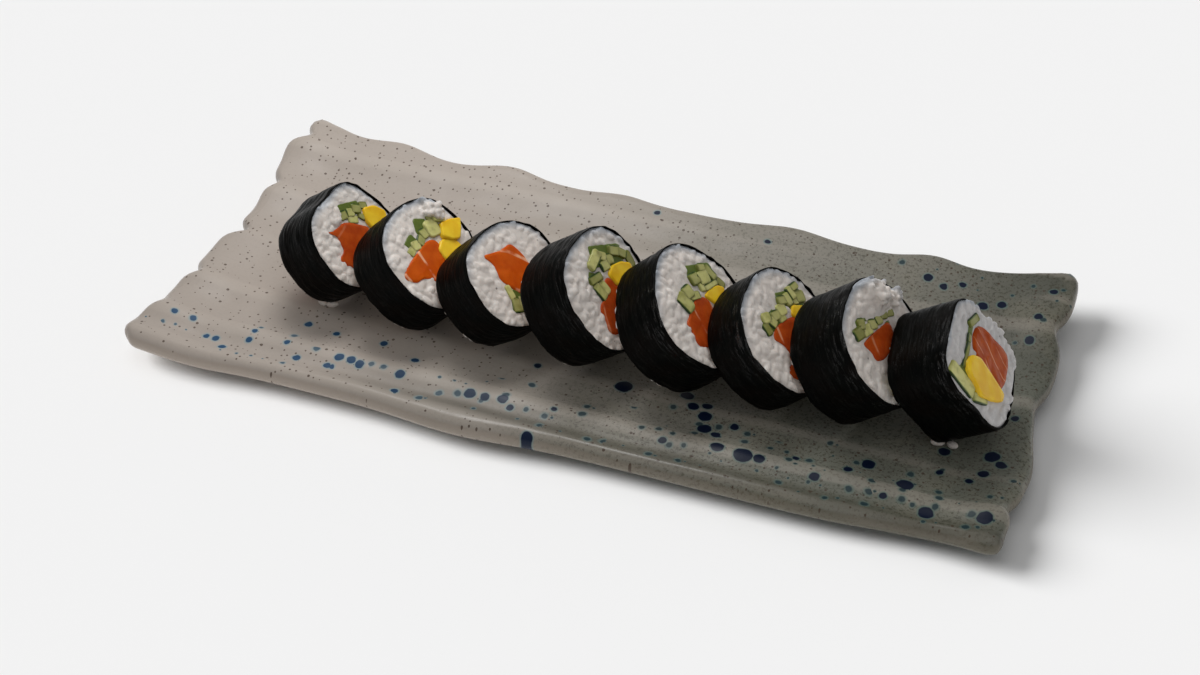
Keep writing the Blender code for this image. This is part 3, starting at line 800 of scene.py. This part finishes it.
def turned(count, chosen, tilt):
    """Turning matrices: any way round in the plane, tipped out of it by about this much, rolled any way."""
    spin = chosen.uniform(0.0, WHOLE_TURN, count)
    tip = chosen.normal(0.0, tilt, count)
    roll = chosen.uniform(0.0, WHOLE_TURN, count)
    return turns_about(2, spin) @ turns_about(1, tip) @ turns_about(0, roll)


def place_grains(places, chosen, tilt, scale=(0.85, 1.1)):
    """A grain at each place, as joined points and faces, and each point's paleness."""
    count = len(places)
    sizes = chosen.uniform(*scale, (count, 1, 1))
    turns = turned(count, chosen, tilt).transpose(0, 2, 1)
    points = GRAIN_POINTS[None] @ turns * sizes + places[:, None, :]
    faces = [tuple(i + k * len(GRAIN_POINTS) for i in face) for k in range(count) for face in GRAIN_FACES]
    tone = np.repeat(chosen.uniform(0.0, 1.0, count), len(GRAIN_POINTS))
    return points.reshape(-1, 3), faces, tone


def hexagonal(reach, spacing, chosen):
    """Places on a slightly shaken triangular grid."""
    rows = int(2 * reach / (spacing * 0.866)) + 2
    columns = int(2 * reach / spacing) + 2
    j, i = np.meshgrid(np.arange(rows), np.arange(columns), indexing="ij")
    x = (i + 0.5 * (j % 2)) * spacing - reach
    y = j * spacing * 0.866 - reach
    flat = np.stack([x.ravel(), y.ravel()], 1)
    return flat + chosen.normal(0.0, 0.32 * spacing, flat.shape)


def heap(flat, clumps):
    """How far the rice stands out of the cut at these places."""
    height = np.zeros(len(flat))
    for right, up, out, wide in clumps:
        height += out * np.exp(-(((flat[:, 0] - right) ** 2 + (flat[:, 1] - up) ** 2) / wide**2))
    return height


def melted(points, faces, attributes):
    """One soft skin over all the parts, where each place keeps the attributes of its nearest part."""
    rough = bpy.data.meshes.new("rough")
    rough.from_pydata((points * MM).tolist(), [], faces)
    holder = bpy.data.objects.new("rough", rough)
    bpy.context.scene.collection.objects.link(holder)
    skin = holder.modifiers.new("skin", "REMESH")
    skin.mode = "VOXEL"
    skin.voxel_size = RICE_VOXEL * MM
    relax = holder.modifiers.new("relax", "SMOOTH")
    relax.factor = 0.5
    relax.iterations = 1
    lighter = holder.modifiers.new("lighter", "DECIMATE")
    lighter.ratio = RICE_KEPT
    bpy.context.view_layer.update()
    made = holder.evaluated_get(bpy.context.evaluated_depsgraph_get()).to_mesh()
    new_points = np.empty(3 * len(made.vertices))
    made.vertices.foreach_get("co", new_points)
    new_points = new_points.reshape(-1, 3) / MM
    new_faces = [tuple(face.vertices) for face in made.polygons]
    holder.to_mesh_clear()
    bpy.data.objects.remove(holder)
    bpy.data.meshes.remove(rough)
    tree = KDTree(len(points))
    for i, point in enumerate(points):
        tree.insert(point, i)
    tree.balance()
    nearest = np.array([tree.find(point)[1] for point in new_points])
    return new_points, new_faces, {key: values[nearest] for key, values in attributes.items()}


def rice_core(piece, clumps, swell):
    """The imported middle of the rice, a little behind the grains."""
    angle = np.linspace(0.0, WHOLE_TURN, 96, endpoint=False)
    wall = piece.radius(angle) - NORI - 0.1
    back = -piece.thick
    levels = [(0.25, back + 0.7), (0.6, back + 0.8), (0.9, back + 1.0), (1.0, back + 1.8)]
    levels += [(1.0, -1.0), (0.95, -0.55)] + [(share, -0.36) for share in (0.8, 0.65, 0.5, 0.35, 0.2)]
    rings = []
    for share, z in levels:
        flat = np.stack([wall * share * np.cos(angle), wall * share * np.sin(angle)], 1)
        height = np.full(len(angle), z)
        if z > -2.0:
            height = height + 0.85 * heap(flat, clumps)
        elif share < 1.0:
            height = height - 0.5 * swell
        rings.append(np.column_stack([flat, height]))
    points, faces = skin_rings(rings)
    points[:, 2] += 0.15 * wander(points, 1.7, 20 + piece.number)
    return points, faces, {"tone": np.full(len(points), 0.3)}


def rice_cut(piece, outlines, clumps, lift, chosen):
    """Grains over a cut, between the fillings, where what stands proud is pressed flatter."""
    flat = hexagonal(RICE_REACH, GRAIN_SPACING, chosen)
    turn = np.arctan2(flat[:, 1], flat[:, 0])
    room = piece.radius(turn) - NORI - np.linalg.norm(flat, axis=1) + 1.6 * bare_side(piece, turn)
    keep = room > 1.0
    for outline in outlines:
        keep &= outside(flat, outline) > 0.35
    flat = flat[keep]
    height = chosen.uniform(-1.3, -0.8, len(flat)) - 0.35 * (1.0 - smooth(room[keep], 0.8, 3.0))
    height = height + heap(flat, clumps) + lift
    points, faces, tone = place_grains(np.column_stack([flat, height]), chosen, 0.35)
    level = heap(points[:, :2], clumps) + lift
    level = level - 0.3 + 0.25 * wander(points * (1.0, 1.0, 0.0), 4.5, 60 + piece.number)
    proud = points[:, 2] - level
    points[:, 2] = np.where(proud > 0.0, level + 0.50 * proud, points[:, 2])
    return points, faces, {"tone": tone}


def rice(piece, outlines, clumps, swell, shade):
    """Grains pressed together over a core, at the cut that shows and at the one behind."""
    chosen = np.random.default_rng(100 + piece.number)
    parts = [rice_core(piece, clumps, swell), rice_cut(piece, outlines, clumps, 0.0, chosen)]
    points, faces, attributes = rice_cut(piece, outlines, (), 0.35 * swell, chosen)
    points[:, 2] = -piece.thick - points[:, 2]
    parts.append((points, [face[::-1] for face in faces], attributes))
    # Loose grains heaped on the clumps.
    for right, up, out, wide in clumps:
        if out > 1.5:
            count = int(5.0 * out)
            spot = chosen.normal(0.0, 0.45 * wide, (count, 2)) + (right, up)
            lift = heap(spot, clumps) + chosen.uniform(-0.4, 0.3, count)
            points, faces, tone = place_grains(np.column_stack([spot, lift]), chosen, 0.5)
            parts.append((points, faces, {"tone": 0.5 + 0.5 * tone}))
    points, faces, attributes = melted(*join(parts))
    # Nothing comes through the wrap.
    turn = np.arctan2(points[:, 1], points[:, 0])
    out = np.linalg.norm(points[:, :2], axis=1)
    bare = 1.1 * bare_side(piece, turn) * smooth(points[:, 2], -3.2, -1.6)
    limit = piece.radius(turn) - NORI - 0.12 + bare
    points[:, :2] *= np.where(out > limit, limit / np.maximum(out, 1e-6), 1.0)[:, None]
    # Painted shade: the rice is greyer under the upper rim, and more so at the cut that shows.
    rim_shade = 1.0 - smooth(limit - np.minimum(out, limit), 0.2, 4.2)
    upper = np.clip(np.sin(turn + math.radians(15.0)) * 1.3, 0.0, 1.0)
    shown = np.where(points[:, 2] > -piece.thick / 2.0, 1.0, 0.4)
    # A slice's shade is painted shade all over its rice.
    attributes["rim"] = np.maximum(rim_shade * upper * shown, shade)
    name = f"roll_{piece.number}"
    build(f"{name}_grains", points, faces, RICE, piece.matrix, (f"{name}_rice",), attributes)


# Salmon: the flesh and its deeper parts, in a lit copy and in copies darkened as painted shade.
LIT_SALMON = ((0.62, 0.105, 0.006), (0.52, 0.072, 0.004))
SHADED_SALMON = ((0.50, 0.080, 0.010), (0.38, 0.048, 0.007))
DEEP_SHADED_SALMON = ((0.44, 0.076, 0.006), (0.34, 0.046, 0.004))

# What shows on each cut face.
# Seam: where the wrap's outer end lies, in degrees. Swell: how far the cut behind bulges. Shade: how grey the
# rice is painted, as shade. Lines of fat: turn, scale, strength. Clumps of rice: (right, up, stands out,
# width). Salmon: its outline. Yellow: outline, stands out. Cucumber: (right, up, length, width, turn, side
# with skin, paleness, stands out).
FACES = {}
FACES[1] = dict(
    seam=252.0, swell=0.8, colours=SHADED_SALMON, lines=(70.0, 26.0, 0.15), clumps=((-6.0, 13.0, 0.8, 5.0),),
    salmon=(
        (-12.5, 9.5), (-8, 7.2), (-3, 7.4), (1, 5.7), (5, 1.8), (8, -1.4), (7, -4.5), (2, -8), (-4, -10.5),
        (-10.5, -10), (-13, -7.5), (-15.4, -3.4), (-14, -2), (-10, -1.6), (-9.4, 2), (-8.6, 5),
        (-10.5, 7.2),
    ),
    yellow={
        "yellow_strip": (((8, 1.2), (11, 6), (16.5, 3.8), (20, -1.3), (18, -4.5), (12, -6), (8.6, -4)), 0.9),
    },
    cucumber={
        "cucumber": (
            (0.2, 9.2, 4.2, 3.4, -15, "up", 0.25, 0.2), (4.3, 8.0, 3.8, 3.2, -30, "left", 0.55, 0.4),
            (3.6, 5.2, 4.6, 2.8, -35, "none", 0.7, 0.2), (8.0, 7.6, 4.4, 3.4, -38, "up", 0.3, 0.5),
            (8.2, 3.6, 3.8, 2.2, -60, "none", 0.35, 0.1), (12.2, 6.6, 4.0, 2.6, -30, "right", 0.2, 0.2),
        ),
    },
)
FACES[2] = dict(
    seam=236.0, swell=2.6, colours=LIT_SALMON, lines=(8.0, 24.0, 0.8), clumps=((16.0, 10.5, 2.4, 4.2),),
    salmon=(
        (-21, 2), (-18, 4.4), (-9, 4.6), (2, 5), (6.4, 2.6), (6.4, -1), (2.4, -3), (2.6, -7.5), (-3, -9.5),
        (-10.2, -8.6), (-11, -5.6), (-13, -3.6), (-18, -2.5),
    ),
    yellow={
        "yellow_strip_upper": ((
            (9, 1), (13.4, 5.2), (18.2, 3.6), (24, 0.3), (21, -2), (15.6, -5), (12, -3),
        ), 1.9),
        "yellow_strip_lower": (((3.2, -1), (8.4, 0.7), (14.6, -4.6), (14, -8.5), (6, -9.5), (2, -6.5)), 0.9),
    },
    cucumber={
        "cucumber": (
            (9.4, 6.2, 6.6, 6.4, -18, "right", 1.0, 0.8), (15.0, 7.0, 5.6, 2.8, -40, "up", 0.85, 1.6),
            (4.0, 7.4, 3.8, 4.0, -10, "up", 0.45, 0.3), (12.6, 9.6, 4.4, 2.2, -30, "up", 0.5, 0.9),
        ),
        "cucumber_strip": (
            (0.2, 6.6, 4.0, 3.6, 20, "up", 0.35, 0.2), (-3.8, 6.8, 4.2, 3.6, -20, "none", 0.8, 0.3),
            (-7.6, 6.6, 3.6, 3.2, 15, "none", 0.65, 0.1),
        ),
    },
)
FACES[3] = dict(
    seam=250.0, swell=2.4, colours=LIT_SALMON, lines=(-48.0, 22.0, 0.8), clumps=((-14.0, 8.0, 0.8, 5.0),),
    salmon=(
        (-8.8, 14.6), (-4, 12.6), (2, 10.6), (7.2, 10.4), (8.6, 6), (8.6, 1), (8, -4), (3, -7.5),
        (-3, -7.4), (-6, -6.4), (-7, -2), (-9, 2.5), (-8, 6), (-6.4, 9.5),
    ),
    yellow={},
    cucumber={
        "cucumber": (
            (-10.6, -8.6, 5.2, 3.4, 58, "left", 0.45, 0.2), (-7.8, -9.6, 5.6, 2.8, 50, "down", 0.6, 0.1),
            (-9.0, -3.2, 5.4, 2.4, 75, "none", 0.95, 0.2),
        ),
    },
)
FACES[4] = dict(
    seam=241.0, swell=2.6, colours=SHADED_SALMON, lines=(30.0, 30.0, 0.35), clumps=((-14.0, 8.0, 0.7, 5.0),),
    salmon=(
        (-11.5, -2.8), (-8, -0.6), (-3, -2.3), (-0.7, 3.6), (3.6, 3.6), (4.2, -3), (8, -7), (3, -9.5),
        (-5, -13.5), (-11, -15), (-14.6, -10.5), (-12, -7),
    ),
    yellow={
        "yellow_strip": (((3.4, 4), (8, 5.2), (14, 3.2), (18, -0.3), (17, -3.6), (10, -6), (4.6, -2.6)), 0.6),
    },
    cucumber={
        "cucumber": (
            (1.6, 12.0, 8.4, 4.0, 12, "down", 0.85, 0.7), (6.2, 11.0, 5.0, 3.0, -45, "none", 0.75, 0.6),
            (5.0, 7.2, 4.6, 3.6, -10, "left", 0.6, 0.5), (9.2, 7.6, 3.6, 3.8, -25, "up", 0.45, 0.7),
            (13.6, 8.4, 5.0, 3.6, -40, "up", 0.4, 1.0), (16.8, 5.2, 4.6, 3.2, -55, "right", 0.3, 0.8),
            (19.2, 0.6, 3.6, 6.4, -8, "none", 0.15, 0.1),
        ),
        "cucumber_strip": (
            (-3.6, 7.0, 7.4, 3.0, -14, "up", 0.25, 0.6), (-5.4, 2.0, 3.8, 6.6, 8, "left", 0.6, 0.4),
            (-1.9, 1.6, 2.9, 5.4, 4, "none", 0.8, 0.3),
        ),
    },
)
FACES[5] = dict(
    seam=246.0, swell=2.6, colours=SHADED_SALMON, lines=(15.0, 30.0, 0.45), clumps=((-13.0, 11.0, 0.8, 5.0),),
    salmon=(
        (-13.6, 2), (-9, 2.6), (-5, 3.6), (0, 4.0), (3.4, 2.6), (6, 0), (4, -6), (-2, -9), (-9, -11.5),
        (-15, -10), (-16.6, -6), (-15.4, -3.6), (-14, -1),
    ),
    yellow={
        "yellow_strip": (((5, 1.6), (10, 1), (15, -1), (17.5, -4), (12, -7), (7, -5.5)), 0.6),
    },
    cucumber={
        "cucumber": (
            (7.4, 8.4, 5.0, 4.4, -20, "up", 0.35, 0.8), (11.6, 5.6, 6.2, 4.8, -24, "left", 0.7, 0.8),
            (8.0, 3.8, 3.6, 3.2, -30, "none", 0.8, 0.5), (14.6, 8.6, 3.6, 3.0, -35, "up", 0.4, 0.9),
            (16.8, 4.2, 3.4, 6.0, 0, "right", 0.35, 0.7), (11.8, 1.6, 7.8, 2.2, -18, "up", 0.7, 0.7),
            (18.0, -1.6, 3.0, 4.6, 10, "none", 0.15, 0.1),
        ),
        "cucumber_strip": (
            (-5.8, 6.6, 5.2, 7.6, 4, "left", 0.55, 0.5), (-0.6, 8.0, 5.0, 4.8, -12, "up", 0.5, 0.6),
            (1.2, 4.6, 5.6, 3.0, -30, "right", 0.55, 0.4),
        ),
    },
)
FACES[6] = dict(
    seam=242.0, swell=0.0, colours=SHADED_SALMON, lines=(20.0, 26.0, 0.5), clumps=((-13.0, -2.5, 1.2, 4.2),),
    salmon=(
        (-10.2, 3), (-6, 5), (-3, 4.6), (3, 3.2), (8, 1.2), (7, -2), (1, -4), (-6, -8), (-10.4, -11),
        (-11.4, -15.4), (-14, -14.5), (-17, -9), (-12, -7.6), (-8, -5), (-8.4, 0),
    ),
    yellow={
        "yellow_strip": (((6.4, 2.6), (10, 4.4), (14, 1.6), (17, -2), (13, -6), (8, -4.5), (7.4, -1)), 0.6),
    },
    cucumber={
        "cucumber": (
            (4.2, 6.8, 4.6, 4.2, -18, "none", 0.85, 0.5), (7.4, 9.0, 4.4, 3.2, -30, "up", 0.45, 0.8),
            (10.6, 7.0, 3.6, 4.6, -12, "right", 0.65, 0.7), (14.2, 7.4, 3.2, 4.8, -10, "left", 0.7, 0.8),
            (17.8, 8.0, 4.4, 2.8, -12, "up", 0.4, 0.9), (17.2, 3.6, 5.2, 4.4, -30, "none", 0.35, 0.5),
            (13.4, 4.0, 3.2, 2.4, -30, "none", 0.6, 0.4),
        ),
        "cucumber_strip": (
            (-9.0, 7.2, 3.6, 4.8, -12, "left", 0.2, 0.3), (-5.6, 10.0, 4.6, 3.8, -25, "right", 0.8, 0.5),
            (-4.4, 6.8, 3.8, 3.4, 10, "left", 0.6, 0.4), (-0.6, 7.6, 4.4, 3.6, -22, "up", 0.55, 0.5),
            (1.4, 4.6, 4.0, 2.4, -15, "none", 0.6, 0.3),
        ),
    },
)
FACES[7] = dict(
    seam=251.0, swell=2.0, colours=SHADED_SALMON, lines=(15.0, 24.0, 0.3),
    clumps=((9.0, 14.5, 4.4, 6.8), (19.0, 8.5, 1.6, 4.0)),
    salmon=(
        (-11.5, 6.4), (-8, 6.5), (-3, 5.6), (3, 4.6), (9.4, 3.4), (8, -1), (3, -4), (-4, -4.6), (-8, -3.5),
        (-10.6, -1.4), (-9.4, 2),
    ),
    yellow={},
    cucumber={
        "cucumber": (
            (-9.4, 10.2, 5.8, 4.2, -12, "left", 0.15, 0.5), (-5.6, 11.8, 3.6, 4.0, -30, "up", 0.35, 0.6),
            (-4.8, 8.4, 5.6, 3.6, -14, "none", 0.75, 0.4), (-0.2, 8.0, 4.4, 3.6, -28, "up", 0.55, 0.5),
            (3.8, 7.4, 4.2, 3.8, -20, "left", 0.45, 0.7), (7.6, 7.0, 4.4, 3.4, -30, "up", 0.2, 0.7),
            (11.4, 5.0, 4.6, 2.6, -28, "right", 0.2, 0.5),
        ),
    },
)
FACES[8] = dict(
    seam=214.0, swell=0.0, shade=0.5, colours=DEEP_SHADED_SALMON, lines=(4.0, 62.0, 0.45),
    clumps=((-12.0, 14.0, 0.8, 5.0),),
    salmon=(
        (-1.2, 5), (1.5, 9), (6, 10.6), (11, 9.4), (13.2, 5), (14.6, 0), (16.4, -5), (17, -9), (12, -12.4),
        (4, -14.4), (0.9, -13), (0.4, -6), (-0.6, 0),
    ),
    yellow={
        "yellow_strip": ((
            (-12, 5), (-9, 7), (-4.4, 6.6), (-1.4, 3), (-0.6, -3), (-0.2, -9), (0.3, -15.2), (-3.4, -15.8),
            (-8.6, -11), (-13.2, -6), (-12.4, -1),
        ), 1.5),
    },
    cucumber={
        "cucumber": (
            (-16.2, 4.4, 5.4, 14.0, 12, "left", 1.0, 0.3), (-12.8, -7.0, 3.4, 8.0, 42, "left", 0.7, 0.4),
        ),
        "cucumber_strip": (
            (-6.4, 8.2, 10.4, 1.8, 16, "up", 0.1, 0.3), (0.4, 10.6, 3.6, 2.0, 25, "up", 0.1, 0.3),
            (8.6, 12.8, 7.4, 2.8, -12, "up", 0.15, 0.4),
        ),
    },
)


def make_slice(number, face):
    piece = Slice(number)
    wrap(piece, face["seam"])
    name = f"roll_{number}"
    back = -piece.thick - FILLING_PAST
    outline = soften(face["salmon"], 2)
    outlines = [outline]
    points, faces = slab(outline, back, 0.15, 40 * number, 0.5, 0.22)
    salmon = salmon_material(f"salmon {number}", *face["colours"], *face["lines"])
    build(f"{name}_fish", points, faces, salmon, piece.matrix, (f"{name}_salmon",))
    for k, (node, (corners, proud)) in enumerate(face["yellow"].items()):
        outline = soften(corners, 2, 0.13)
        outlines.append(outline)
        points, faces = slab(outline, back, proud, 40 * number + 10 + k, 0.35, 0.10)
        strip = f"{name}_{node.replace('yellow_strip', 'yellow')}"
        build(strip, points, faces, YELLOW, piece.matrix, (f"{name}_{node}",))
    for k, (node, strips) in enumerate(face["cucumber"].items()):
        outlines += cucumber_strips(piece, node, strips, 40 * number + 20 + 8 * k)
    rice(piece, outlines, face["clumps"], face["swell"], face.get("shade", 0.0))


def loose_grains():
    """Two grains by the end piece's foot, and two by the first slice's."""
    chosen = np.random.default_rng(5)
    places = np.array([(137, -27.6, 10.6), (142.4, -26.8, 10.5), (-110.5, -30.6, 11.5), (-106, -31.2, 11.6)])
    points, faces, tone = place_grains(places, chosen, 0.15, (0.9, 1.0))
    attributes = {"tone": tone, "rim": np.zeros(len(points))}
    build("loose_grains", points, faces, RICE, attributes=attributes)


def make_floor():
    mesh = bpy.data.meshes.new("floor")
    corners = [(x * FLOOR_REACH, y * FLOOR_REACH, 0.0) for x, y in ((-1, -1), (1, -1), (1, 1), (-1, 1))]
    mesh.from_pydata(corners, [], [(0, 1, 2, 3)])
    floor = bpy.data.objects.new("floor", mesh)
    bpy.context.scene.collection.objects.link(floor)
    s = Shader("pale floor")
    s.set(Base_Color=(0.875, 0.875, 0.875), Roughness=0.9, Specular_IOR_Level=0.0)
    mesh.materials.append(s.material)
    return floor


def make_lights(floor):
    """The part is lit from the left, less towards its right end. The floor has lights of its own."""
    world = bpy.data.worlds.new("studio")
    world.use_nodes = True
    background = world.node_tree.nodes["Background"].inputs
    background["Color"].default_value = (1.0, 1.0, 1.0, 1.0)
    background["Strength"].default_value = WORLD_STRENGTH
    bpy.context.scene.world = world
    receivers = {}
    for name, members in (("part", PIECES), ("table", [floor])):
        receivers[name] = bpy.data.collections.new(name)
        for member in members:
            receivers[name].objects.link(member)
    for name, (kind, place, power, size, lit) in LIGHTS.items():
        data = bpy.data.lights.new(name, kind)
        data.energy = power
        lamp = bpy.data.objects.new(name, data)
        away = Vector(place)
        if kind == "AREA":
            data.size = size
            lamp.location = place
            away = away - Vector(WINDOW_AIM)
        else:
            data.angle = math.radians(size)
        lamp.rotation_euler = (-away).to_track_quat("-Z", "Y").to_euler()
        lamp.light_linking.receiver_collection = receivers[lit]
        bpy.context.scene.collection.objects.link(lamp)


def make_camera():
    camera = bpy.data.objects.new("camera", bpy.data.cameras.new("camera"))
    camera.data.lens = LENS
    camera.data.sensor_width = 36.0
    camera.data.clip_start = 0.01
    camera.location = CAMERA_AT
    camera.rotation_euler = (math.radians(90.0 - CAMERA_DOWN), 0.0, math.radians(CAMERA_TURN))
    bpy.context.scene.collection.objects.link(camera)
    bpy.context.scene.camera = camera
    bpy.context.scene.view_settings.view_transform = "Standard"


make_plate()
for number, face in FACES.items():
    make_slice(number, face)
loose_grains()
make_lights(make_floor())
make_camera()
